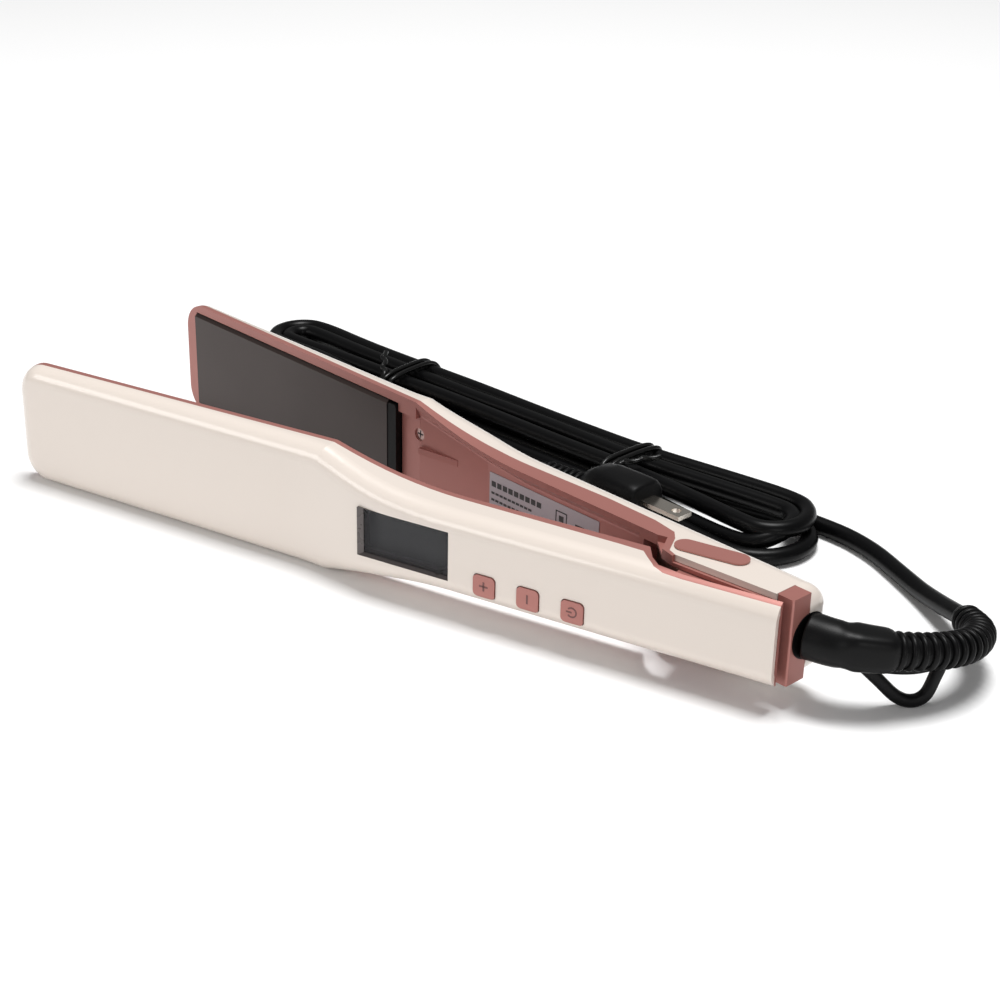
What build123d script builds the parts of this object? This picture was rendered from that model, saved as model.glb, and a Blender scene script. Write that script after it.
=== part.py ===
from build123d import *
import math
import os

os.makedirs("parts", exist_ok=True)

# Hair-straightening iron lying on its side with its two arms open.
# Each arm is drawn in arm coordinates: X runs from the rear face (0) to the tip (-arm_length),
# Y runs from the parting plane (0) outwards to the arm's back, and Z is the arm's width.
# The lower arm stays as drawn; the upper arm is mirrored across the parting plane and then
# swung about the hinge pin by open_angle.

# ---- driving sizes, mm and degrees
arm_length = 290.0
handle_width = 27.5
paddle_width = 43.0
handle_depth = 15.5
paddle_depth = 10.5
tip_depth = 8.0
tip_corner = 10.0
shoulder = 6.0
rear_round = 4.0
wall = 2.0
flare_start = 112.0
flare_end = 161.0
flare_slope = 0.30
thinning_start = 132.0
thinning_end = 174.0
open_angle = 16.5
pin_from_rear = 33.0
pin_depth = 4.5
pin_radius = 2.5
pin_fit = 0.05
clear = 0.3
snug = 0.1

# ---- plates and the trim round them
plate_length = 109.0
plate_width = 36.4
plate_thickness = 3.0
plate_face = 0.15
plate_bevel = 1.0
plate_travel = 0.6
tip_margin = 6.4
strip_length = 4.4
frame_face = 1.2
paddle_trim = 3.2
trim_ledge = 2.0
heater_length = 72.0
heater_width = 22.0
heater_thickness = 1.4
clip_thickness = 0.6

# ---- handle trim, cheeks and tail
lower_trim = handle_depth - 7.2
upper_trim = 4.3
cheek_front = 43.0
cheek_reach = 4.5
cheek_rear_reach = 1.0
tail_front = 42.0
tail_trim = handle_depth - 2.6
tail_plate = 1.5
tail_end = 5.6
liner = 1.2
cover_wall = 1.6
trough_depth = handle_depth - 9.5
trough_front = 160.8
trough_rear = 60.0
block_length = 6.2
block_face = 0.2
block_reach = 7.0

# ---- display, buttons and electronics
window_centre = 128.0
window_length = 33.0
window_height = 16.4
lens_thickness = 1.2
bezel_rim = 1.4
lens_recess = 1.3
bezel_seat = handle_depth - wall - 1.5
button_size = 7.4
button_pitch = 15.0
button_first = 98.7
button_height = 6.5
button_proud = 0.5
button_travel = 0.6
button_gap = 0.2
board_depth = handle_depth - 7.1
lower_board_depth = handle_depth - 5.9
board_thickness = 1.2
switch_height = 1.6

# ---- cord outlet
gland_radius = 7.2
boot_middle_radius = 5.5
boot_tip_radius = 4.5
cord_diameter = 6.0
gland_depth = 7.4
loop_strand = 3.2

def half_width(back):
    """Half the arm's width at a distance forward of the rear face, straight across the flare."""
    if back <= flare_start:
        return handle_width / 2
    if back < flare_end:
        share = (back - flare_start) / (flare_end - flare_start)
        return handle_width / 2 + (paddle_width - handle_width) / 2 * share ** 1.6
    return paddle_width / 2


def blank(inset=0.0, base=-12.0):
    """An arm's solid envelope drawn in by inset, with rounded shoulders, tip and rear corners."""
    handle, paddle = handle_width / 2 - inset, paddle_width / 2 - inset
    front = arm_length - inset
    flares = [Spline((-flare_start, side * handle), (-flare_end, side * paddle),
                     tangents=[(-1, 0), (-1, side * flare_slope)]) for side in (1, -1)]
    outline = make_face(Curve() + [
        Line((-inset, handle), (-flare_start, handle)), flares[0],
        Line((-flare_end, paddle), (-front, paddle)), Line((-front, paddle), (-front, -paddle)),
        Line((-front, -paddle), (-flare_end, -paddle)), flares[1],
        Line((-flare_start, -handle), (-inset, -handle)), Line((-inset, -handle), (-inset, handle))])
    outline = fillet(outline.vertices().sort_by(Axis.X)[:2], tip_corner - inset)
    thick, thin, end = handle_depth - inset, paddle_depth - inset, tip_depth - inset
    step = Spline((-thinning_start, thick), (-thinning_end, thin), tangents=[(-1, 0), (-1, -0.02)])
    profile = make_face(Curve() + [
        Line((-inset, base), (-inset, thick)), Line((-inset, thick), (-thinning_start, thick)), step,
        Line((-thinning_end, thin), (-front - 1, end)), Line((-front - 1, end), (-front - 1, base)),
        Line((-front - 1, base), (-inset, base))])
    corner = profile.vertices().group_by(Axis.X)[-1].sort_by(Axis.Y)[-1]
    profile = fillet(corner, rear_round - inset)
    half = extrude(Plane.XZ * outline, 60, both=True) & extrude(profile, 60, both=True)
    half &= Pos(0, 0, -50) * Box(4 * arm_length, 200, 100)
    long_edges = [edge for edge in half.edges()
                  if edge.bounding_box().min.Y > tip_depth / 2 and edge.bounding_box().size.X > 0.5
                  and edge.center().Z < -4 and edge.bounding_box().size.Z < tip_corner + 3]
    half = fillet(long_edges, shoulder - inset)
    return half + mirror(half, about=Plane.XY)


def plan(*points, rise=60.0):
    """A prism over an outline drawn in X and Y."""
    return extrude(Plane.XY.offset(-rise) * make_face(Polyline(*points, close=True)), 2 * rise)


def block(x, y, z):
    """A box given by its low and high limits along each axis."""
    size = [high - low for low, high in (x, y, z)]
    middle = [(high + low) / 2 for low, high in (x, y, z)]
    return Pos(*middle) * Box(*size)


def upright(x, y, radius, low, high):
    """A cylinder along Z."""
    return Pos(x, y, (low + high) / 2) * Cylinder(radius, high - low)


def across(x, z, radius, low, high):
    """A cylinder along Y."""
    return Pos(x, (low + high) / 2, z) * Rot(90, 0, 0) * Cylinder(radius, high - low)


deep = handle_depth + 5.0
far = arm_length + 5.0
pin_x = -pin_from_rear
envelope = blank()
hollow = blank(wall)
lining = blank(wall + snug)
button_backs = [button_first - i * button_pitch for i in range(3)]

# ---- the plate and what is fixed to it, the same in both arms
plate_front = -(arm_length - tip_margin)
plate_rear = plate_front + plate_length
strip_rear = plate_rear + strip_length
plate_half = plate_width / 2
plate_back = plate_face + plate_thickness
plate_middle = (plate_front + plate_rear) / 2
tongue_half = paddle_width / 2 - 6.0
tab_face = frame_face + 1.5


def heating_plate():
    slab = block((plate_front, plate_rear), (plate_face, plate_back), (-plate_half, plate_half))
    long_edges = slab.edges().filter_by(Axis.X).group_by(Axis.Y)[0]
    return chamfer(long_edges, plate_bevel)


def plate_strip():
    slab = block((plate_rear, strip_rear), (plate_face + 0.2, plate_back),
                 (-plate_half + 0.6, plate_half - 0.6))
    return fillet(slab.edges().filter_by(Axis.Y), 1.2)


def heater():
    return block((plate_middle - heater_length / 2, plate_middle + heater_length / 2),
                 (plate_back, plate_back + heater_thickness), (-heater_width / 2, heater_width / 2))


def heater_clip():
    low = plate_back + heater_thickness
    bar = block((plate_middle - 8, plate_middle + 8), (low, low + clip_thickness),
                (-heater_width / 2 - 1, heater_width / 2 + 1))
    for side in (1, -1):
        edge = side * (heater_width / 2 + 0.5)
        bar += block((plate_middle - 8, plate_middle + 8), (plate_back, low + clip_thickness),
                     (edge - 0.5, edge + 0.5))
    return bar


def plate_frame():
    """The trim ring round a heating plate, with a skirt in the shell and a tab under the plate's tip."""
    ring = envelope & block((-far, -flare_end), (frame_face, paddle_trim), (-60, 60))
    ring += lining & block((-far, -flare_end - 6.5), (paddle_trim - 0.5, paddle_trim + trim_ledge), (-60, 60))
    ring -= block((plate_front - clear, strip_rear + clear), (-5, deep),
                  (-plate_half - clear, plate_half + clear))
    ring -= block((strip_rear, 0), (-5, deep), (-tongue_half - snug, tongue_half + snug))
    low = plate_back + plate_travel + snug
    return ring + block((plate_front - 2, plate_front + 5), (low, low + 1.0), (-9, 9))


def inner_cover(trim_line, rear):
    """The inside cover of a handle: a concave trough between two side walls, with a tab beside the plate."""
    rims = plan((-flare_end, frame_face), *trim_line, (-rear, frame_face))
    skin = (envelope - hollow) & rims
    skin += block((strip_rear + 2 * clear, -flare_end + 4), (tab_face, tab_face + 2.0),
                  (-tongue_half, tongue_half))
    stations = [(trough_front, tab_face), (flare_start + 19, trough_depth), (flare_start, trough_depth),
                (rear, trough_depth)]
    inside = loft([trough_section(back, low, 0.0) for back, low in stations], ruled=True)
    stations[-1] = (rear - cover_wall, trough_depth)
    outside = loft([trough_section(back, low, cover_wall) for back, low in stations], ruled=True)
    skin = skin + (hollow & outside & block((-far, 0), (frame_face, deep), (-60, 60))) - inside
    fin = plan((-flare_end + 1, tab_face + 1.0), (-flare_end + 1, tab_face - 1.3),
               (-flare_end + 17, trough_depth - 1.6), (-flare_end + 17, trough_depth))
    return skin + (fin & block((-far, 0), (0, deep), (3.2, 5.4)))


def trough_section(back, low, grow):
    """The trough's outline at one station, grown by its wall for the outside."""
    top = half_width(back) - 2.0 + grow * 0.9
    foot = top - 2.0 - low * 0.35
    shape = make_face(Polyline((-1, -top), (frame_face, -top), (low + grow, -foot),
                               (low + grow, foot), (frame_face, top), (-1, top), close=True))
    shape = fillet(shape.vertices().sort_by(Axis.X)[-2:], 1.5)
    return Plane(origin=(-back, 0, 0), x_dir=(0, 1, 0), z_dir=(1, 0, 0)) * shape


# ---- lower arm
cheek_top = handle_width / 2
cheek_inner = cheek_top - wall
liner_inner = cheek_inner - snug - liner
lower_trim_line = [(-flare_end, paddle_trim), (-flare_start - 14, lower_trim - 2.0),
                   (-trough_rear - 20, lower_trim), (-trough_rear, lower_trim - 0.4)]
cheek_edge = [(-cheek_front - 8, lower_trim - 2.0), (-cheek_front - 5, lower_trim - 5.0),
              (-cheek_front - 1, -cheek_reach + 1), (-cheek_front + 2, -cheek_reach)]
lower_edge = [(-arm_length - 1, paddle_trim), *lower_trim_line, *cheek_edge]
lower_region = plan(*lower_edge, (-block_length, -cheek_rear_reach), (-block_length, block_reach),
                    (1, block_reach), (1, deep), (-far, deep))
pin_hole = upright(pin_x, pin_depth, pin_radius + pin_fit, -60, 60)
gland_axis = Pos(0, gland_depth, 0) * Rot(0, 90, 0)
gland_hole = gland_axis * Cylinder(gland_radius + snug, 60)
lower_shell = (envelope - hollow) & lower_region
boss_radius = pin_radius + 2.0
for side in (1, -1):
    reach = sorted((side * liner_inner, side * (cheek_inner + 0.5)))
    lower_shell += upright(pin_x, pin_depth, boss_radius, *reach)
lower_shell = lower_shell - pin_hole - gland_hole

screw_x, screw_z = -flare_end, 9.6
screw_head, screw_shank, head_low = 2.2, 1.2, tab_face + 0.6
case_screw = across(screw_x, screw_z, screw_head, head_low, head_low + 1.0)
case_screw += across(screw_x, screw_z, screw_shank, head_low + 1.0, head_low + 4.0)
screw_hole = across(screw_x, screw_z, screw_head, 0, head_low + 1.0)
screw_hole += across(screw_x, screw_z, screw_shank, 0, 20)
lower_frame = plate_frame()
lower_cover = inner_cover(lower_trim_line, trough_rear)
lip = plan(lower_trim_line[-1], *cheek_edge, (-cheek_front + 2, -cheek_reach - 1.2),
           (-cheek_front - 3, -cheek_reach), (-cheek_front - 7, frame_face + 1),
           (-cheek_front - 10, frame_face), (-trough_rear, frame_face))
liner_side = plan((-trough_rear - 0.5, frame_face), (-cheek_front - 10, frame_face),
                  (-cheek_front - 3, -cheek_reach), (-cheek_front + 2, -cheek_reach - 1.2),
                  (-block_length - clear, -cheek_rear_reach - 1.2), (-block_length - clear, 8),
                  (-trough_rear - 0.5, 8))
for side in (1, -1):
    band = block((-far, 1), (-20, deep), tuple(sorted((side * liner_inner, side * (cheek_inner - snug)))))
    rim = block((-far, 1), (-20, deep), tuple(sorted((side * liner_inner, side * 60))))
    lower_cover = lower_cover + (liner_side & band) + (envelope & lip & rim)
lower_cover = lower_cover - upright(pin_x, pin_depth, boss_radius + snug, -60, 60) - screw_hole

label = block((-130.0, -81.0), (trough_depth - 0.2, trough_depth), (-6.0, 6.0))
spring_arc = ThreePointArc((pin_x - 17, handle_depth - wall - 0.6), (pin_x, handle_depth - wall - 2.4),
                           (pin_x + 15, handle_depth - wall - 0.6))
opening_spring = extrude(Plane.XY.offset(-4) * trace(spring_arc, 0.4), 8)
lower_board = block((-148, -66), (lower_board_depth, lower_board_depth + board_thickness), (-9, 9))

# ---- rear block with the cord outlet
rear_block = block((-block_length + snug, -block_face), (-0.8, block_reach - snug), (-cheek_top, cheek_top))
rear_block = fillet(rear_block.edges().filter_by(Axis.Z).group_by(Axis.Y)[0], 0.6)
rear_block += block((-block_length, -wall - snug), (-0.8, handle_depth), (-cheek_top, cheek_top)) & lining
rear_block -= gland_hole

# ---- cord socket and strain relief
socket = gland_axis * Pos(0, 0, -block_length / 2) * Cylinder(gland_radius, block_length)
socket += gland_axis * Pos(0, 0, -block_length - 0.6) * Cylinder(gland_radius - 0.4, 1.2)
socket -= gland_axis * Cylinder(cord_diameter / 2, 60)
boot_points = [(0.0, gland_depth, 0), (9.0, 10.6, -0.3), (18.5, 19.5, -1.5), (25.5, 32.0, -3.5),
               (27.5, 46.0, -6.0), (22.5, 59.5, -9.0), (11.0, 69.0, -12.0)]
boot_path = Spline(*boot_points, tangents=[(1, 0, 0), (-0.845, 0.48, -0.24)])
boot_radii = [(0.0, gland_radius - 0.2), (0.2, gland_radius - 0.5), (0.32, boot_middle_radius + 0.5),
              (0.5, boot_middle_radius), (1.0, boot_tip_radius)]
boot_sections = [Plane(origin=boot_path @ share, z_dir=boot_path % share) * Circle(radius)
                 for share, radius in boot_radii]
boot = sweep(boot_sections, path=boot_path, multisection=True)
loop_low = -paddle_width / 2 + loop_strand / 2
loop_wire = FilletPolyline((11.0, 14.6, -5.0), (20.8, 26.2, loop_low), (24.0, 31.5, loop_low),
                           (26.0, 37.0, -7.0), radius=2.4)
hang_loop = sweep(Plane(origin=loop_wire @ 0, z_dir=loop_wire % 0) * Circle(loop_strand / 2), path=loop_wire)
hang_loop -= boot

# ---- upper arm
tail_in = tail_trim - tail_plate
upper_trim_line = [(-flare_end, paddle_trim), (-flare_start, upper_trim - 1.0), (-trough_rear, upper_trim)]
tail_edge = [(-tail_front - 10, upper_trim + 0.4), (-tail_front - 6.5, tail_trim - 4.5),
             (-tail_front - 3.5, tail_trim - 1.6), (-tail_front, tail_trim - 0.3), (-tail_front + 6, tail_trim)]
upper_edge = [(-arm_length - 1, paddle_trim), *upper_trim_line, *tail_edge]
upper_region = plan(*upper_edge, (-tail_end, tail_trim), (-tail_end, deep), (-far, deep))
window = block((-window_centre - window_length / 2, -window_centre + window_length / 2), (10, deep),
               (-window_height / 2, window_height / 2))
upper_shell = ((envelope - hollow) & upper_region) - window
presses = [Pos(-back, 0, -button_height) * Rot(-90, 0, 0) for back in button_backs]
hole_size = button_size + 2 * button_gap
for press in presses:
    upper_shell -= press * extrude(RectangleRounded(hole_size, hole_size, 1.6), 40)

upper_frame = plate_frame()
upper_cover = inner_cover(upper_trim_line, trough_rear)
tail_outline = plan(upper_trim_line[-1], *tail_edge, (-tail_end, tail_trim), (-tail_end, tail_in),
                    (-tail_front + 6, tail_in), (-tail_front - 2.5, tail_in - 1.2),
                    (-tail_front - 6, tail_in - 4.5),
                    (-tail_front - 9.5, frame_face), (-trough_rear, frame_face))
upper_cover += envelope & tail_outline
tongue_side = liner_inner - clear
barrel_radius = boss_radius + 1.4
cheek = plan((-tail_end - 4.8, tail_in + 0.5), (-tail_end - 4.8, 3.0), (pin_x + 5, -pin_depth - 4),
             (pin_x - 4, -pin_depth - 4), (-tail_front + 1, -2.0), (-tail_front + 1, tail_in + 0.5))
for side in (1, -1):
    reach = tuple(sorted((side * (tongue_side - 1.8), side * tongue_side)))
    upper_cover += cheek & block((-far, 0), (-20, deep), reach)
upper_cover += upright(pin_x, -pin_depth, barrel_radius, -tongue_side, tongue_side)
bush_radius = pin_radius + 1.2
upper_cover = upper_cover - upright(pin_x, -pin_depth, bush_radius, -60, 60) - screw_hole
hinge_bush = upright(pin_x, -pin_depth, bush_radius, -tongue_side, tongue_side)
hinge_bush -= upright(pin_x, -pin_depth, pin_radius, -60, 60)
pin_top = cheek_top + 0.2
hinge_pin = upright(pin_x, -pin_depth, pin_radius, -pin_top, pin_top)
oval = SlotCenterToCenter(16.5, 7.0)
covers = [Pos(pin_x - 1.5, -pin_depth, pin_top) * extrude(oval, 0.5),
          Pos(pin_x - 1.5, -pin_depth, -pin_top - 0.5) * extrude(oval, 0.5)]

lens_out = handle_depth - lens_recess
lens = block((-window_centre - window_length / 2 + snug, -window_centre + window_length / 2 - snug),
             (lens_out - lens_thickness, lens_out), (-window_height / 2 + snug, window_height / 2 - snug))
rim_low = bezel_seat - 1.4
bezel = block((-window_centre - window_length / 2 - 1.5, -window_centre + window_length / 2 + 1.5),
              (rim_low, bezel_seat), (-window_height / 2 - 1.5, window_height / 2 + 1.5))
bezel += block((-window_centre - window_length / 2 + snug, -window_centre + window_length / 2 - snug),
               (rim_low, lens_out - lens_thickness), (-window_height / 2 + snug, window_height / 2 - snug))
bezel -= block((-window_centre - window_length / 2 + bezel_rim, -window_centre + window_length / 2 - bezel_rim),
               (0, deep), (-window_height / 2 + bezel_rim, window_height / 2 - bezel_rim))
board_top = board_depth + board_thickness
lcd = block((-window_centre - window_length / 2, -window_centre + window_length / 2), (board_top, rim_low),
            (-window_height / 2, window_height / 2))
board = block((-152, -60), (board_depth, board_top), (-9.0, 9.0))
switches = Compound([block((-back - 2.5, -back + 2.5), (board_top, board_top + switch_height),
                           (-button_height - 2.5, -button_height + 2.5)) for back in button_backs])
proud_half = handle_width / 2 + button_proud
proud = block((-flare_start, 0), (0, handle_depth + button_proud), (-proud_half, proud_half))
proud = fillet(proud.edges().filter_by(Axis.X).group_by(Axis.Y)[-1], shoulder + button_proud)
button_foot = board_top + switch_height + button_travel + 0.05
buttons = []
for press in presses:
    column = press * extrude(RectangleRounded(button_size, button_size, 1.5), 40)
    buttons.append(proud & column & block((-far, 0), (button_foot, 40), (-60, 60)))


def swing(shape):
    """Mirrors a piece into the upper arm and opens it about the pin."""
    turned = mirror(shape, about=Plane.XZ)
    return Pos(pin_x, pin_depth, 0) * Rot(0, 0, open_angle) * Pos(-pin_x, -pin_depth, 0) * turned


lower = {
    "lower_outer_shell": lower_shell, "lower_plate_frame": lower_frame, "lower_inner_cover": lower_cover,
    "lower_case_screw": case_screw, "rating_label": label, "opening_spring": opening_spring,
    "lower_power_board": lower_board, "rear_end_block": rear_block, "cord_socket": socket,
    "strain_relief": boot, "hang_loop": hang_loop, "lower_heating_plate": heating_plate(),
    "lower_plate_end_strip": plate_strip(), "lower_heater": heater(), "lower_heater_clip": heater_clip(),
}
upper = {
    "upper_outer_shell": upper_shell, "upper_plate_frame": upper_frame, "upper_inner_cover": upper_cover,
    "upper_case_screw": case_screw, "hinge_pin": hinge_pin, "hinge_bush": hinge_bush,
    "hinge_cover_top": covers[0], "hinge_cover_bottom": covers[1], "display_lens": lens, "display_bezel": bezel,
    "display_panel": lcd, "control_board": board, "button_switches": switches, "plus_button": buttons[0],
    "minus_button": buttons[1], "power_button": buttons[2], "upper_heating_plate": heating_plate(),
    "upper_plate_end_strip": plate_strip(), "upper_heater": heater(), "upper_heater_clip": heater_clip(),
}
pieces = dict(lower)
pieces.update({name: swing(shape) for name, shape in upper.items()})
box = Compound(list(pieces.values())).bounding_box()
place = Pos(-(box.min.X + box.max.X) / 2, -(box.min.Y + box.max.Y) / 2, -box.min.Z)
pieces = {name: place * shape for name, shape in pieces.items()}

# ---- the cord, measured from the floor under the strain relief's tip
boot_end = place.position + boot_path @ 1
laid = Pos(boot_end.X, boot_end.Y, 0)
cord_route = [(0, 0, boot_end.Z), (-18.5, 10.5, 4.2), (-36.3, 19.1, 3.1), (-52.8, 26.3, 3.0), (-71.3, 28.9, 3.0)]
lead_route = [(-244.3, -13.7, 5.0), (-223.3, -21.3, 5.0), (-197.3, -25.7, 7.0), (-172.3, -26.6, 11.0),
              (-151.3, -26.6, 12.5)]


def cord_tube(route):
    """A tube of straight runs and large tangent arcs through a route's corners."""
    ends = [Vector(*point) for point in route]
    runs = [b - a for a, b in zip(ends, ends[1:])]
    radii = [0.45 * min(a.length, b.length) / math.tan(math.radians(a.get_angle(b)) / 2)
             for a, b in zip(runs, runs[1:])]
    path = FilletPolyline(*route, radius=radii)
    return sweep(Plane(origin=path @ 0, z_dir=path % 0) * Circle(cord_diameter / 2), path=path)


hank_right, hank_left = (-85.8, 8.9), (-312.8, -4.1)
hank_height, hank_waist = 15.4, 13.0
hank_plan = Pos(*hank_right) * Circle(24.0) + Pos(*hank_left) * Circle(15.0)
hank_plan += make_face(Polyline((-107.3, 20.4), (-134.3, 6.1 + hank_waist), (-254.3, -0.7 + hank_waist),
                                (-304.3, 8.3), (-304.3, -16.5), (-254.3, -0.7 - hank_waist),
                                (-134.3, 6.1 - hank_waist), (-107.3, -3.1), close=True))
hank = extrude(hank_plan, hank_height)
ties = {}
for name, x in (("twist_tie_rear", -143.3), ("twist_tie_front", -251.3)):
    share = (x - hank_right[0]) / (hank_left[0] - hank_right[0])
    middle = hank_right[1] + share * (hank_left[1] - hank_right[1])
    outer = Pos(x, middle, hank_height / 2 + 0.8) * Box(3.0, 2 * hank_waist + 4.0, hank_height + 1.6)
    ties[name] = outer - hank
plug_x, plug_y, plug_z = lead_route[-1]
relief = Pos(plug_x + 10, plug_y, plug_z) * Rot(0, 90, 0) * Cone(3.6, 5.4, 20)
body = Pos(plug_x + 33, plug_y, plug_z) * Box(26, 17, 24.6)
body = fillet(body.edges().filter_by(Axis.X), 6.0)
plug = relief + fillet(body.faces().sort_by(Axis.X)[0].edges(), 4.0)
blade_in, blade_out = plug_x + 46, plug_x + 62.5
blade = Box(blade_out - blade_in, 6.3, 1.5) - Pos(4.5, 0, 0) * Cylinder(1.6, 3)
blades = Compound([Pos((blade_in + blade_out) / 2, plug_y, plug_z + side * 6.35) * blade for side in (1, -1)])
cord_pieces = {"power_cord": cord_tube(cord_route), "cord_hank": hank, "plug_lead": cord_tube(lead_route),
               "mains_plug": plug, "plug_blades": blades, **ties}
pieces.update({name: laid * shape for name, shape in cord_pieces.items()})
for name, shape in pieces.items():
    export_step(shape, f"parts/{name}.step")
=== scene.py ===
import math

import bmesh
import bpy
from mathutils import Matrix, Vector


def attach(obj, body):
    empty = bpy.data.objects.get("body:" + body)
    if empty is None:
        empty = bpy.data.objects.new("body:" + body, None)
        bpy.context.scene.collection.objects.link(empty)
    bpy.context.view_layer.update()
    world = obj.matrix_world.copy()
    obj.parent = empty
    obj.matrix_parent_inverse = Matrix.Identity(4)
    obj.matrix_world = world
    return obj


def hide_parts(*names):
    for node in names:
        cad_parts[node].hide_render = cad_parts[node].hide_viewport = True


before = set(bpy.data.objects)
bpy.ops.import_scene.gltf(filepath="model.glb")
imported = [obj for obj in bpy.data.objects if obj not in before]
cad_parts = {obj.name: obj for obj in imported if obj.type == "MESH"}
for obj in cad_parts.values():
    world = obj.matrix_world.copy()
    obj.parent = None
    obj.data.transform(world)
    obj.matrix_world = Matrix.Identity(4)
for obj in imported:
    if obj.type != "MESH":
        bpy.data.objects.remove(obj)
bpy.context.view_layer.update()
scene = bpy.context.scene
MM = 0.001
OPEN = math.radians(16.5)
SHIFT = Vector((128.300, 3.107, 21.505))
PIN_X, PIN_DEPTH = -33.0, 4.5
CORD_RADIUS = 3.0 * MM


# ---------------------------------------------------------------- small helpers
def mm(*point):
    """A point given in millimetres, in metres."""
    return Vector(point) * MM


def lerp(a, b, share):
    return a + (b - a) * share


def low(x, y, z):
    """A point of the lower arm in metres.

    x runs along the arm from its rear face, y is the depth from the parting, z the height from its middle.
    """
    return (Vector((x, y, z)) + SHIFT) * MM


def high(x, y, z):
    """The same point of the upper arm, which is the mirror image swung open about the pin."""
    dx, dy = x - PIN_X, -y - PIN_DEPTH
    c, s = math.cos(OPEN), math.sin(OPEN)
    return low(PIN_X + dx * c - dy * s, PIN_DEPTH + dx * s + dy * c, z)


def put_mesh(name, verts, faces, material, smooth=True):
    """A new mesh object at the origin with one material."""
    mesh = bpy.data.meshes.new(name)
    mesh.from_pydata([tuple(v) for v in verts], [], faces)
    mesh.validate()
    shell = bmesh.new()
    shell.from_mesh(mesh)
    bmesh.ops.recalc_face_normals(shell, faces=shell.faces)
    shell.to_mesh(mesh)
    shell.free()
    mesh.polygons.foreach_set("use_smooth", [smooth] * len(mesh.polygons))
    mesh.materials.append(material)
    piece = bpy.data.objects.new(name, mesh)
    scene.collection.objects.link(piece)
    return piece


def loft(name, rings, material, smooth=True):
    """A closed skin through rings of equal point counts, capped at both ends."""
    count = len(rings[0])
    verts = [v for ring in rings for v in ring]
    faces = []
    for k in range(len(rings) - 1):
        here, beyond = k * count, (k + 1) * count
        faces += [[here + j, here + (j + 1) % count, beyond + (j + 1) % count, beyond + j]
                  for j in range(count)]
    faces += [list(range(count))[::-1], [(len(rings) - 1) * count + j for j in range(count)]]
    return put_mesh(name, verts, faces, material, smooth)


def smooth_line(points, per_span=8):
    """Points along a curve that passes through every given point."""
    ends = [points[0] * 2 - points[1]] + list(points) + [points[-1] * 2 - points[-2]]
    line = []
    for a, b, c, d in zip(ends, ends[1:], ends[2:], ends[3:]):
        for i in range(per_span):
            t = i / per_span
            line.append(0.5 * ((2 * b) + (c - a) * t + (2 * a - 5 * b + 4 * c - d) * t * t
                               + (3 * b - a - 3 * c + d) * t ** 3))
    return line + [points[-1].copy()]


def rings_along(line, outline):
    """Cross-sections square to a line; outline(share) gives (across, up) pairs in metres."""
    rings, up = [], Vector((0, 0, 1))
    for i, point in enumerate(line):
        ahead = (line[min(i + 1, len(line) - 1)] - line[max(i - 1, 0)]).normalized()
        side = ahead.cross(up).normalized()
        top = side.cross(ahead)
        rings.append([point + side * u + top * v for u, v in outline(i / (len(line) - 1))])
    return rings


def rounded(width, height, power=2.6, count=32):
    """A soft-cornered cross-section."""
    shape = []
    for k in range(count):
        a = 2 * math.pi * k / count
        c, s = math.cos(a), math.sin(a)
        shape.append((math.copysign(abs(c) ** (2 / power), c) * width / 2,
                      math.copysign(abs(s) ** (2 / power), s) * height / 2))
    return shape


def wire(name, points, radius, material, order=3):
    """A round wire on a smooth NURBS line with the given control points."""
    curve = bpy.data.curves.new(name, "CURVE")
    curve.dimensions = "3D"
    spline = curve.splines.new("NURBS")
    spline.points.add(len(points) - 1)
    for control, point in zip(spline.points, points):
        control.co = (*point, 1.0)
    spline.order_u = order
    spline.use_endpoint_u = True
    spline.resolution_u = 6
    curve.bevel_depth = radius
    curve.bevel_resolution = 5
    curve.use_fill_caps = True
    curve.materials.append(material)
    piece = bpy.data.objects.new(name, curve)
    scene.collection.objects.link(piece)
    return piece


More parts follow.
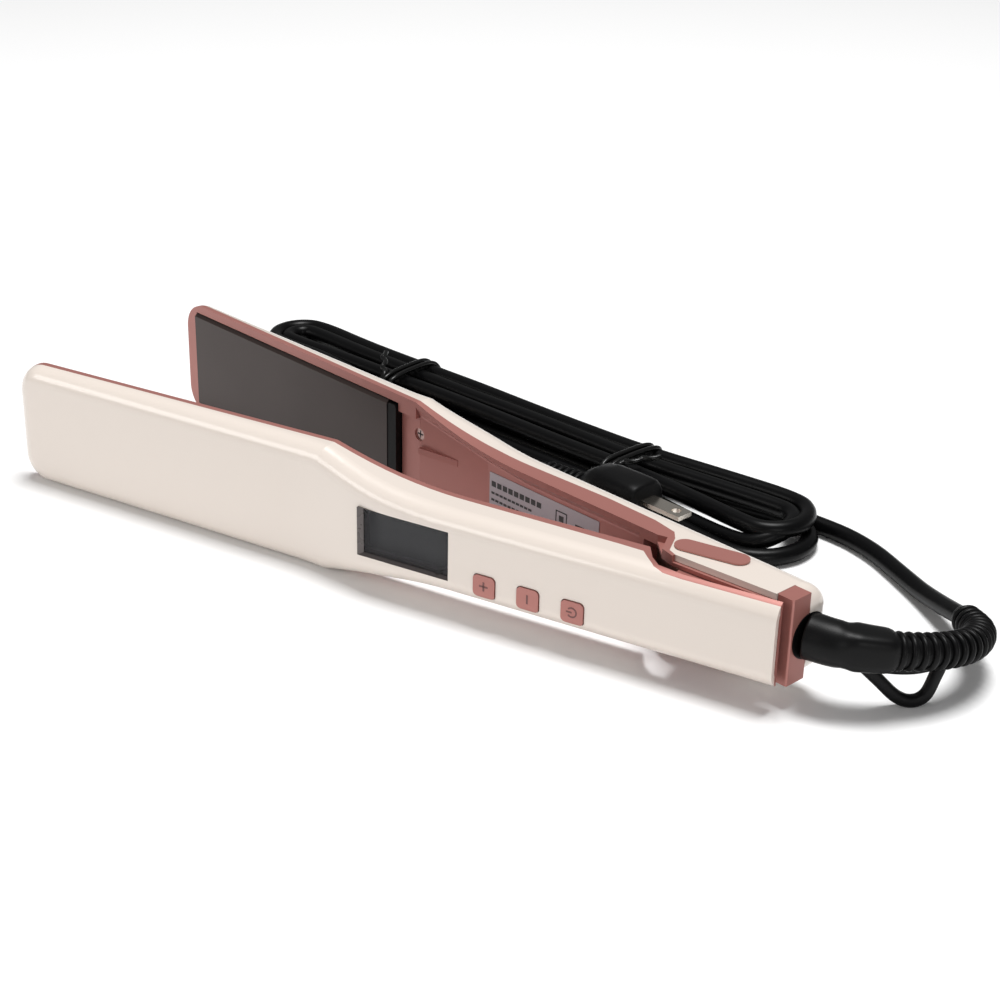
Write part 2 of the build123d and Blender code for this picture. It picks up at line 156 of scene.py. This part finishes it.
# ---------------------------------------------------------------- materials
def finish(name, color, rough, metallic=0.0, coat=0.0, grain=0.0, grain_scale=900.0, mottle=0.0,
           mottle_scale=60.0, rough_spread=0.06, darker=0.85, specular=0.5, coat_rough=0.05):
    """A moulded, lacquered or metal finish: colour mottle, uneven roughness and a fine grain."""
    material = bpy.data.materials.new(name)
    material.use_nodes = True
    nodes, links = material.node_tree.nodes, material.node_tree.links
    shader = nodes["Principled BSDF"]
    shader.inputs["Metallic"].default_value = metallic
    shader.inputs["Coat Weight"].default_value = coat
    shader.inputs["Coat Roughness"].default_value = coat_rough
    shader.inputs["Specular IOR Level"].default_value = specular
    place = nodes.new("ShaderNodeTexCoord")
    cloud = nodes.new("ShaderNodeTexNoise")
    cloud.inputs["Scale"].default_value = mottle_scale
    cloud.inputs["Detail"].default_value = 4.0
    links.new(place.outputs["Object"], cloud.inputs["Vector"])
    tint = nodes.new("ShaderNodeMix")
    tint.data_type = "RGBA"
    tint.inputs["A"].default_value = (*color, 1)
    tint.inputs["B"].default_value = (*[c * darker for c in color], 1)
    amount = nodes.new("ShaderNodeMath")
    amount.operation = "MULTIPLY"
    amount.inputs[1].default_value = mottle
    links.new(cloud.outputs["Fac"], amount.inputs[0])
    links.new(amount.outputs[0], tint.inputs["Factor"])
    links.new(tint.outputs["Result"], shader.inputs["Base Color"])
    polish = nodes.new("ShaderNodeMapRange")
    polish.inputs["To Min"].default_value = max(rough - rough_spread, 0.02)
    polish.inputs["To Max"].default_value = rough + rough_spread
    links.new(cloud.outputs["Fac"], polish.inputs["Value"])
    links.new(polish.outputs["Result"], shader.inputs["Roughness"])
    if grain:
        fine = nodes.new("ShaderNodeTexNoise")
        fine.inputs["Scale"].default_value = grain_scale
        fine.inputs["Detail"].default_value = 3.0
        links.new(place.outputs["Object"], fine.inputs["Vector"])
        bump = nodes.new("ShaderNodeBump")
        bump.inputs["Strength"].default_value = grain
        bump.inputs["Distance"].default_value = 0.0002
        links.new(fine.outputs["Fac"], bump.inputs["Height"])
        links.new(bump.outputs["Normal"], shader.inputs["Normal"])
    return material


def clear_lens():
    """Smoked window plastic, clear enough to show the display."""
    material = finish("smoked_window", (0.05, 0.05, 0.055), 0.06, rough_spread=0.02, specular=0.35)
    shader = material.node_tree.nodes["Principled BSDF"]
    shader.inputs["Alpha"].default_value = 0.3
    shader.inputs["IOR"].default_value = 1.49
    return material


ivory = finish("ivory_gloss", (0.79, 0.705, 0.635), 0.30, coat=0.8, grain=0.012, grain_scale=900, mottle=0.05,
               mottle_scale=8, rough_spread=0.015, darker=0.97, coat_rough=0.10)
rose = finish("rose_lacquer", (0.43, 0.175, 0.150), 0.40, metallic=0.35, coat=0.08, grain=0.05,
              grain_scale=3200, mottle=0.35, mottle_scale=45, darker=0.86, coat_rough=0.25)
plate_finish = finish("bronze_plate", (0.046, 0.031, 0.027), 0.36, metallic=0.45, coat=0.05, grain=0.04,
                      grain_scale=2600, mottle=0.4, mottle_scale=30, darker=0.75, coat_rough=0.3)
strip_black = finish("strip_black", (0.004, 0.0035, 0.0035), 0.42, grain=0.05, mottle=0.3, specular=0.15)
rubber = finish("boot_rubber", (0.0035, 0.0035, 0.0038), 0.40, grain=0.10, grain_scale=2400, mottle=0.5,
                mottle_scale=120, darker=0.5, specular=0.16)
sheath = finish("cord_sheath", (0.0025, 0.0025, 0.0028), 0.34, grain=0.08, grain_scale=1400, mottle=0.5,
                mottle_scale=90, darker=0.5, specular=0.14)
tie_black = finish("tie_plastic", (0.004, 0.004, 0.004), 0.28, grain=0.05, grain_scale=1800, mottle=0.3,
                   specular=0.28)
plug_black = finish("plug_plastic", (0.003, 0.003, 0.0032), 0.42, grain=0.12, grain_scale=2200, mottle=0.4,
                    specular=0.12)
nickel = finish("blade_nickel", (0.80, 0.74, 0.66), 0.22, metallic=1.0, grain=0.05, grain_scale=1500,
                mottle=0.3)
steel = finish("bright_steel", (0.62, 0.61, 0.60), 0.28, metallic=1.0, grain=0.06, grain_scale=1800,
               mottle=0.3)
screw_metal = finish("screw_plating", (0.52, 0.36, 0.33), 0.30, metallic=0.9, grain=0.05, mottle=0.3)
label_film = finish("label_film", (0.44, 0.40, 0.43), 0.42, grain=0.03, mottle=0.15, darker=0.9)
# Dark ink for the label's print, also used as painted shade for the screw heads' cross recesses.
print_and_recess_shade_ink = finish("print_and_recess_shade_ink", (0.02, 0.02, 0.02), 0.5, mottle=0.2)
board_green = finish("board_green", (0.02, 0.12, 0.05), 0.4, grain=0.1, mottle=0.4, mottle_scale=250,
                     darker=0.5)
switch_dark = finish("switch_plastic", (0.05, 0.05, 0.05), 0.45, grain=0.1, mottle=0.3)
ceramic = finish("heater_ceramic", (0.75, 0.73, 0.68), 0.55, grain=0.1, mottle=0.3)
bezel_grey = finish("bezel_grey", (0.11, 0.095, 0.092), 0.28, metallic=0.3, grain=0.03, mottle=0.2)
screen_dark = finish("screen_dark", (0.030, 0.030, 0.032), 0.30, coat=0.05, mottle=0.4, mottle_scale=70,
                     darker=0.8)
symbol_ink = finish("symbol_ink", (0.16, 0.06, 0.055), 0.4, mottle=0.2)
window_plastic = clear_lens()

MATERIALS = {
    ivory: ["lower_outer_shell", "upper_outer_shell"],
    rose: ["lower_plate_frame", "upper_plate_frame", "lower_inner_cover", "upper_inner_cover",
           "rear_end_block", "hinge_cover_top", "hinge_cover_bottom", "plus_button", "minus_button",
           "power_button"],
    plate_finish: ["lower_heating_plate", "upper_heating_plate"],
    strip_black: ["lower_plate_end_strip", "upper_plate_end_strip"],
    rubber: ["cord_socket", "strain_relief", "hang_loop"],
    sheath: ["power_cord", "plug_lead", "cord_hank"],
    plug_black: ["mains_plug"],
    tie_black: ["twist_tie_rear", "twist_tie_front"],
    nickel: ["plug_blades"],
    steel: ["opening_spring", "hinge_pin", "lower_heater_clip", "upper_heater_clip"],
    screw_metal: ["lower_case_screw", "upper_case_screw"],
    label_film: ["rating_label"],
    board_green: ["lower_power_board", "control_board"],
    switch_dark: ["button_switches", "hinge_bush"],
    ceramic: ["lower_heater", "upper_heater"],
    bezel_grey: ["display_bezel"],
    screen_dark: ["display_panel"],
    window_plastic: ["display_lens"],
}
for material, names in MATERIALS.items():
    for name in names:
        part = bpy.data.objects[name]
        part.data.materials.clear()
        part.data.materials.append(material)

# ---------------------------------------------------------------- the cord and its hank
CORD_ROUTE = [(139.3, 72.1, 9.5), (120.8, 82.6, 4.2), (103.0, 91.2, 3.1), (86.5, 98.4, 3.0),
              (68.0, 101.0, 3.0)]
LEAD_ROUTE = [(-105.0, 58.4, 5.0), (-84.0, 50.8, 5.0), (-58.0, 46.4, 7.0), (-33.0, 45.5, 11.0),
              (-12.0, 45.5, 12.5)]
HANK_RIGHT, HANK_LEFT = Vector((53.5, 81.0)), Vector((-173.5, 68.0))
HANK_RUN = (HANK_RIGHT - HANK_LEFT).length
ALONG = (HANK_RIGHT - HANK_LEFT) / HANK_RUN
# each turn: half-width at the waist, radius at the rear end and at the tip end, and height at the two ends
TURNS = [(10.0, 20.5, 12.0, 3.0), (4.0, 14.0, 6.0, 3.1), (4.2, 8.6, 6.2, 9.2), (10.0, 17.8, 11.6, 9.4)]
TURN_DRIFTS = [0.0, 0.6, -0.5, 0.4]
WAIST = [200.0, 170.0, 142.0, 115.0, 88.0, 61.6, 28.0]
FLARE_START, FLARE_RUN, FLARE_SHARE = 175.0, 25.0, 0.55
LEAD_LEAVES = 40.0


def hank_point(run, side, height):
    """A point of the hank from its distance along, its offset to the back, and its height, in mm."""
    flat = HANK_LEFT + ALONG * run + Vector((-ALONG.y, ALONG.x)) * side
    return mm(flat.x, flat.y, height)


def flare(run, half, wide):
    """How far a strand has spread from its waist towards the rear end, in mm."""
    return FLARE_SHARE * (wide - half) * max(0.0, (run - FLARE_START) / FLARE_RUN)


def hank_line():
    """Control points of every turn: out along the back, round the tip end, and home along the front."""
    line = []
    for k, (half, wide, tight, height) in enumerate(TURNS):
        drift = TURN_DRIFTS[k]
        for i, run in enumerate(WAIST):
            line.append(hank_point(run, half + flare(run, half, wide) + drift * math.sin(i * 1.9), height))
        for angle in (100, 140, 180, 220, 260):
            a = math.radians(angle)
            line.append(hank_point(tight * 1.08 * math.cos(a), tight * 1.04 * math.sin(a), height))
        last = k == len(TURNS) - 1
        for i, run in enumerate(reversed(WAIST)):
            if last and run > LEAD_LEAVES:
                break
            line.append(hank_point(run, -half - flare(run, half, wide) + drift * math.sin(i * 1.7 + 1), height))
        if last:
            break
        next_wide, next_height = TURNS[k + 1][1], TURNS[k + 1][3]
        for i, angle in enumerate((-80, -48, -16, 16, 48, 80)):
            a, share = math.radians(angle), (i + 0.5) / 6
            reach = lerp(wide, next_wide, share) * 1.04
            level = lerp(height, next_height, min(1.0, 2.2 * share))
            line.append(hank_point(HANK_RUN + reach * math.cos(a), reach * math.sin(a), level))
    return line


cord_points = [mm(*p) for p in CORD_ROUTE] + hank_line() + [mm(*p) for p in LEAD_ROUTE]
cord = wire("mains_cord", cord_points, CORD_RADIUS, sheath)


def tie(name, run, lean):
    """A twist tie: two wraps round the hank and two free ends twisted together."""
    points = []
    for i in range(40):
        a = math.radians(-200 + 360 * 2 * i / 39)
        c, s = math.cos(a), math.sin(a)
        side = 14.1 * math.copysign(abs(c) ** 0.55, c)
        height = 7.2 + 6.5 * math.copysign(abs(s) ** 0.55, s)
        points.append(hank_point(run + lean * (i / 39 - 0.5) * 7.0 + lean * 1.2 * math.sin(2 * a),
                                 side, height))
    tail = []
    for i in range(12):
        a = i * 1.25
        tail.append(hank_point(run + lean * (4.0 + 0.9 * i) + 0.7 * math.cos(a),
                               -11.0 + 0.9 * i + 0.7 * math.sin(a), 13.8 + 0.25 * i))
    return wire(name, points + tail, 0.95 * MM, tie_black)


ties = [tie("tie_rear", 169.8, 1.0), tie("tie_front", 61.6, -1.0)]

# ---------------------------------------------------------------- ribs, made along a path
def rib_tree(material):
    """Rings stood along a path, each scaled by its place on it."""
    tree = bpy.data.node_groups.new("ribs_along_path", "GeometryNodeTree")
    face = tree.interface
    face.new_socket("Geometry", in_out="INPUT", socket_type="NodeSocketGeometry")
    for label in ("Count", "Ring Radius", "Rib Radius", "Last Scale"):
        kind = "NodeSocketInt" if label == "Count" else "NodeSocketFloat"
        face.new_socket(label, in_out="INPUT", socket_type=kind)
    face.new_socket("Geometry", in_out="OUTPUT", socket_type="NodeSocketGeometry")
    nodes, links = tree.nodes, tree.links
    start, end = nodes.new("NodeGroupInput"), nodes.new("NodeGroupOutput")
    path = nodes.new("GeometryNodeMeshToCurve")
    spots = nodes.new("GeometryNodeCurveToPoints")
    spots.mode = "COUNT"
    ring, rib = nodes.new("GeometryNodeCurvePrimitiveCircle"), nodes.new("GeometryNodeCurvePrimitiveCircle")
    ring.inputs["Resolution"].default_value = 40
    rib.inputs["Resolution"].default_value = 10
    skin = nodes.new("GeometryNodeCurveToMesh")
    turn = nodes.new("FunctionNodeAlignRotationToVector")
    turn.axis = "Z"
    order = nodes.new("GeometryNodeInputIndex")
    size = nodes.new("ShaderNodeMapRange")
    size.inputs["To Min"].default_value = 1.0
    place = nodes.new("GeometryNodeInstanceOnPoints")
    solid = nodes.new("GeometryNodeRealizeInstances")
    paint = nodes.new("GeometryNodeSetMaterial")
    paint.inputs["Material"].default_value = material
    links.new(start.outputs["Geometry"], path.inputs["Mesh"])
    links.new(path.outputs["Curve"], spots.inputs["Curve"])
    links.new(start.outputs["Count"], spots.inputs["Count"])
    links.new(start.outputs["Ring Radius"], ring.inputs["Radius"])
    links.new(start.outputs["Rib Radius"], rib.inputs["Radius"])
    links.new(ring.outputs["Curve"], skin.inputs["Curve"])
    links.new(rib.outputs["Curve"], skin.inputs["Profile Curve"])
    links.new(spots.outputs["Tangent"], turn.inputs["Vector"])
    links.new(order.outputs["Index"], size.inputs["Value"])
    links.new(start.outputs["Count"], size.inputs["From Max"])
    links.new(start.outputs["Last Scale"], size.inputs["To Max"])
    links.new(spots.outputs["Points"], place.inputs["Points"])
    links.new(skin.outputs["Mesh"], place.inputs["Instance"])
    links.new(turn.outputs["Rotation"], place.inputs["Rotation"])
    links.new(size.outputs["Result"], place.inputs["Scale"])
    links.new(place.outputs["Instances"], solid.inputs["Geometry"])
    links.new(solid.outputs["Geometry"], paint.inputs["Geometry"])
    links.new(paint.outputs["Geometry"], end.inputs["Geometry"])
    return tree


def ribs(name, path, count, ring, rib, last, material):
    """Applied ribs along a path of points."""
    mesh = bpy.data.meshes.new(name + "_path")
    mesh.from_pydata([tuple(p) for p in path], [(i, i + 1) for i in range(len(path) - 1)], [])
    guide = bpy.data.objects.new(name + "_path", mesh)
    scene.collection.objects.link(guide)
    maker = guide.modifiers.new("ribs", "NODES")
    maker.node_group = rib_tree(material)
    values = {"Count": count, "Ring Radius": ring * MM, "Rib Radius": rib * MM, "Last Scale": last}
    for item in maker.node_group.interface.items_tree:
        if item.in_out == "INPUT" and item.name in values:
            maker[item.identifier] = values[item.name]
    view = bpy.context.evaluated_depsgraph_get()
    done = bpy.data.meshes.new_from_object(guide.evaluated_get(view))
    bpy.data.objects.remove(guide)
    done.name = name
    done.polygons.foreach_set("use_smooth", [True] * len(done.polygons))
    piece = bpy.data.objects.new(name, done)
    scene.collection.objects.link(piece)
    return piece


# ---------------------------------------------------------------- strain relief and hang loop
BOOT = [(0.0, 7.4, 0), (9.0, 10.6, -0.3), (18.5, 19.5, -1.5), (25.5, 32.0, -3.5), (27.5, 46.0, -6.0),
        (22.5, 59.5, -9.0), (11.0, 69.0, -12.0)]
BOOT_SIZES = [(0.0, 14.0, 2.0), (0.15, 13.6, 2.0), (0.18, 12.6, 2.3), (0.195, 12.0, 3.0), (0.22, 12.4, 3.6),
              (0.33, 11.6, 3.4), (0.35, 11.0, 2.6), (0.365, 9.2, 2.0), (0.97, 7.6, 2.0), (0.985, 8.4, 2.0),
              (1.0, 7.4, 2.0)]
boot_line = smooth_line([low(*p) for p in BOOT], 14)


def boot_outline(share):
    """The boot's width and squareness at a share of its length."""
    for (a, wide_a, square_a), (b, wide_b, square_b) in zip(BOOT_SIZES, BOOT_SIZES[1:]):
        if share <= b:
            t = (share - a) / (b - a)
            width = lerp(wide_a, wide_b, t) * MM
            return rounded(width, width, lerp(square_a, square_b, t))
    return rounded(BOOT_SIZES[-1][1] * MM, BOOT_SIZES[-1][1] * MM, 2.0)


boot = loft("boot_core", rings_along(boot_line, boot_outline), rubber)
rib_path = boot_line[int(0.37 * len(boot_line)):int(0.97 * len(boot_line))]
boot_ribs = ribs("boot_ribs", rib_path, 18, 4.7, 1.05, 0.84, rubber)
LOOP = [(11.0, 14.6, -5.0), (15.6, 20.2, -12.2), (19.4, 24.8, -18.0), (22.2, 28.8, -19.9), (24.3, 32.2, -18.2),
        (25.2, 34.8, -12.5), (26.0, 37.0, -6.5)]
loop_line = smooth_line([low(*p) for p in LOOP], 8)
hang_ring = loft("hang_ring", rings_along(loop_line, lambda share: rounded(3.4 * MM, 3.8 * MM, 2.8, 20)),
                 rubber)
BAR = [(12.0, 15.8, -6.6), (17.5, 21.0, -8.0), (22.0, 28.0, -9.0), (25.8, 36.0, -8.6)]
bar_line = smooth_line([low(*p) for p in BAR], 8)
hang_bar = loft("hang_bar", rings_along(bar_line, lambda share: rounded(3.0 * MM, 3.2 * MM, 2.8, 20)),
                rubber)

# ---------------------------------------------------------------- mains plug
PLUG_Y, PLUG_Z, PLUG_BACK = 45.5, 12.5, -12.0
PLUG_SIZES = [(0.0, 6.6, 6.6, 2.0), (0.5, 7.2, 7.2, 2.0), (16.0, 8.6, 8.6, 2.0), (18.5, 10.0, 11.5, 2.2),
              (21.5, 13.6, 18.5, 2.8), (25.0, 15.8, 22.8, 3.2), (30.0, 16.8, 24.4, 3.6), (42.0, 17.0, 24.6, 3.8),
              (44.6, 16.6, 24.2, 3.8), (45.7, 15.8, 23.4, 3.6), (46.0, 14.6, 22.2, 3.6)]
plug_rings = [[mm(PLUG_BACK + x, PLUG_Y + u, PLUG_Z + v) for u, v in rounded(wide, tall, power)]
              for x, wide, tall, power in PLUG_SIZES]
plug = loft("plug_body", plug_rings, plug_black)
plug_path = [mm(PLUG_BACK + 1.5 + i, PLUG_Y, PLUG_Z) for i in range(15)]
plug_ribs = ribs("plug_ribs", plug_path, 6, 3.5, 0.95, 1.25, plug_black)


# ---------------------------------------------------------------- printed lines, symbols and painted shade for the screw recesses
def plates(name, place, outlines, depth, thick, material):
    """Thin raised shapes on a flat face; outlines are lists of (along, height) corners in mm."""
    verts, faces = [], []
    for outline in outlines:
        base, count = len(verts), len(outline)
        verts += [place(x, depth, z) for x, z in outline] + [place(x, depth + thick, z) for x, z in outline]
        faces += [[base + j for j in range(count)], [base + count + j for j in range(count)][::-1]]
        faces += [[base + j, base + count + j, base + count + (j + 1) % count, base + (j + 1) % count]
                  for j in range(count)]
    return put_mesh(name, verts, faces, material, smooth=False)


def bar(x, z, long, tall):
    """A bar's corners from its middle and size."""
    return [(x - long / 2, z - tall / 2), (x + long / 2, z - tall / 2), (x + long / 2, z + tall / 2),
            (x - long / 2, z + tall / 2)]


label_bars = [bar(-128.0 + 2.6 * i, 2.2, 2.0, 1.9) for i in range(9)]
label_bars += [bar(-128.3 + 1.9 * i, -1.0, 1.5, 0.8) for i in range(10)]
label_bars += [bar(-128.3 + 1.9 * i, -3.4, 1.5, 0.8) for i in range(14)]
label_bars += [bar(-99.5, 1.0, 0.4, 5.0), bar(-94.9, 1.0, 0.4, 5.0), bar(-97.2, 3.3, 4.6, 0.4),
               bar(-97.2, -1.3, 4.6, 0.4), bar(-97.2, 1.0, 2.0, 2.0), bar(-88.5, 1.0, 5.0, 1.0)]
label_lines = plates("label_lines", low, label_bars, 5.74, 0.05, print_and_recess_shade_ink)

BUTTON_BACKS = {"plus_button": 98.7, "minus_button": 83.7, "power_button": 68.7}
BUTTON_Z, BUTTON_FACE = -6.3, 15.98
symbols = []
for node, back in BUTTON_BACKS.items():
    if node == "plus_button":
        shapes = [bar(-back, BUTTON_Z, 3.0, 0.55), bar(-back, BUTTON_Z, 0.55, 3.0)]
    elif node == "minus_button":
        shapes = [bar(-back, BUTTON_Z, 0.55, 3.0)]
    else:
        shapes = [bar(-back - 0.9, BUTTON_Z, 1.9, 0.5)]
        for i in range(14):
            a, b = math.radians(-140 + 20 * i), math.radians(-140 + 20 * (i + 1))
            shapes.append([(-back + r * math.cos(t), BUTTON_Z + r * math.sin(t))
                           for r, t in ((1.25, a), (1.75, a), (1.75, b), (1.25, b))])
    symbols.append((plates(node + "_symbol", high, shapes, BUTTON_FACE, 0.09, symbol_ink), node + "_cap"))


def window_bevel():
    """The sloping rim round the display window, from rectangles given as limits along, across and in depth."""
    rows = [(-144.5, -111.5, -8.2, 8.2, 15.42), (-142.7, -112.2, -7.3, 7.8, 14.45),
            (-142.7, -112.2, -7.3, 7.8, 14.25), (-144.5, -111.5, -8.2, 8.2, 14.25)]
    verts, faces = [], []
    for left, right_end, bottom, top, depth in rows:
        verts += [high(left, depth, bottom), high(right_end, depth, bottom), high(right_end, depth, top),
                  high(left, depth, top)]
    for k in range(4):
        for j in range(4):
            a, b = 4 * k, 4 * ((k + 1) % 4)
            faces.append([a + j, a + (j + 1) % 4, b + (j + 1) % 4, b + j])
    return put_mesh("window_bevel", verts, faces, bezel_grey, smooth=False)


bevel = window_bevel()

# The screws' cross recesses are not cut: a dark raised cross is painted on each head as painted shade where the
# recess would be.
SCREW_X, SCREW_Z, SCREW_FACE = -161.0, 9.6, 3.26
cross = [bar(SCREW_X, SCREW_Z, 2.6, 0.55), bar(SCREW_X, SCREW_Z, 0.55, 2.6)]
screw_recess_shade_marks = [(plates("lower_screw_painted_recess_shade", low, cross, SCREW_FACE, 0.06, print_and_recess_shade_ink), "lower_arm"),
               (plates("upper_screw_painted_recess_shade", high, cross, SCREW_FACE, 0.06, print_and_recess_shade_ink), "upper_arm")]

# ---------------------------------------------------------------- camera, light and floor
TURN, RISE, ROLL = math.radians(46.1), math.radians(25.5), math.radians(1.3)
right = Vector((math.cos(TURN), math.sin(TURN), 0))
up = Vector((-math.sin(TURN) * math.sin(RISE), math.cos(TURN) * math.sin(RISE), math.cos(RISE)))
ahead = Vector((-math.sin(TURN) * math.cos(RISE), math.cos(TURN) * math.cos(RISE), -math.sin(RISE)))
right, up = (math.cos(ROLL) * right + math.sin(ROLL) * up, -math.sin(ROLL) * right + math.cos(ROLL) * up)
STAND_RIGHT, STAND_UP, STAND_BACK, FOCAL_LENGTH = -81.6, 40.2, 550.9, 71.05
stand = (right * STAND_RIGHT + up * STAND_UP - ahead * STAND_BACK + SHIFT) * MM
lens = bpy.data.cameras.new("view")
lens.lens = FOCAL_LENGTH
lens.sensor_width = 36.0
camera = bpy.data.objects.new("view", lens)
camera.matrix_world = Matrix.Translation(stand) @ Matrix((right, up, -ahead)).transposed().to_4x4()
scene.collection.objects.link(camera)
scene.camera = camera

scene.view_settings.view_transform = "Standard"
world = bpy.data.worlds.new("studio")
world.use_nodes = True
sky = world.node_tree.nodes["Background"]
sky.inputs["Color"].default_value = (1, 1, 1, 1)
sky.inputs["Strength"].default_value = 0.20
scene.world = world


def softbox(name, place, aim, size, power, tint=(1, 1, 1)):
    """A rectangular area light facing a point; sizes in metres, power in watts."""
    lamp = bpy.data.lights.new(name, "AREA")
    lamp.shape = "RECTANGLE"
    lamp.size, lamp.size_y = size
    lamp.energy = power
    lamp.color = tint
    box = bpy.data.objects.new(name, lamp)
    box.location = place
    box.rotation_euler = (Vector(aim) - Vector(place)).to_track_quat("-Z", "Y").to_euler()
    scene.collection.objects.link(box)


softbox("overhead_box", (0.0, 0.24, 2.2), (0.0, 0.0, 0.0), (0.9, 0.7), 48.0)
softbox("front_box", (-0.45, -1.0, 0.50), (0.0, 0.0, 0.02), (0.8, 0.4), 3.1, (1, 0.985, 0.97))
softbox("rear_box", (1.0, -0.5, 0.45), (0.1, 0.0, 0.02), (0.4, 0.3), 1.6)

floor_finish = finish("floor_white", (0.97, 0.97, 0.97), 0.8, mottle=0.05, mottle_scale=3, darker=0.98)
floor = put_mesh("floor", [(-4, -4, 0), (4, -4, 0), (4, 4, 0), (-4, 4, 0)], [(0, 1, 2, 3)], floor_finish)

# ---------------------------------------------------------------- what rides on what
def belongs(piece, body, slot, *nodes):
    """Hangs a piece on its body and hides the nodes it stands for; the finish slot is not used."""
    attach(piece, body)
    if nodes:
        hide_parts(*nodes)


belongs(cord, "lower_arm", "cord_sheath", "power_cord", "cord_hank", "plug_lead")
belongs(ties[0], "lower_arm", "plug_plastic", "twist_tie_rear")
belongs(ties[1], "lower_arm", "plug_plastic", "twist_tie_front")
belongs(boot, "lower_arm", "black_rubber", "strain_relief")
belongs(boot_ribs, "lower_arm", "black_rubber")
belongs(hang_ring, "lower_arm", "black_rubber", "hang_loop")
belongs(hang_bar, "lower_arm", "black_rubber")
belongs(plug, "lower_arm", "plug_plastic", "mains_plug")
belongs(plug_ribs, "lower_arm", "plug_plastic")
belongs(label_lines, "lower_arm", "label_film")
belongs(bevel, "upper_arm", "bezel_grey")
for piece, body in symbols:
    belongs(piece, body, "trim_rose")
for piece, body in screw_recess_shade_marks:
    belongs(piece, body, "case_screw")
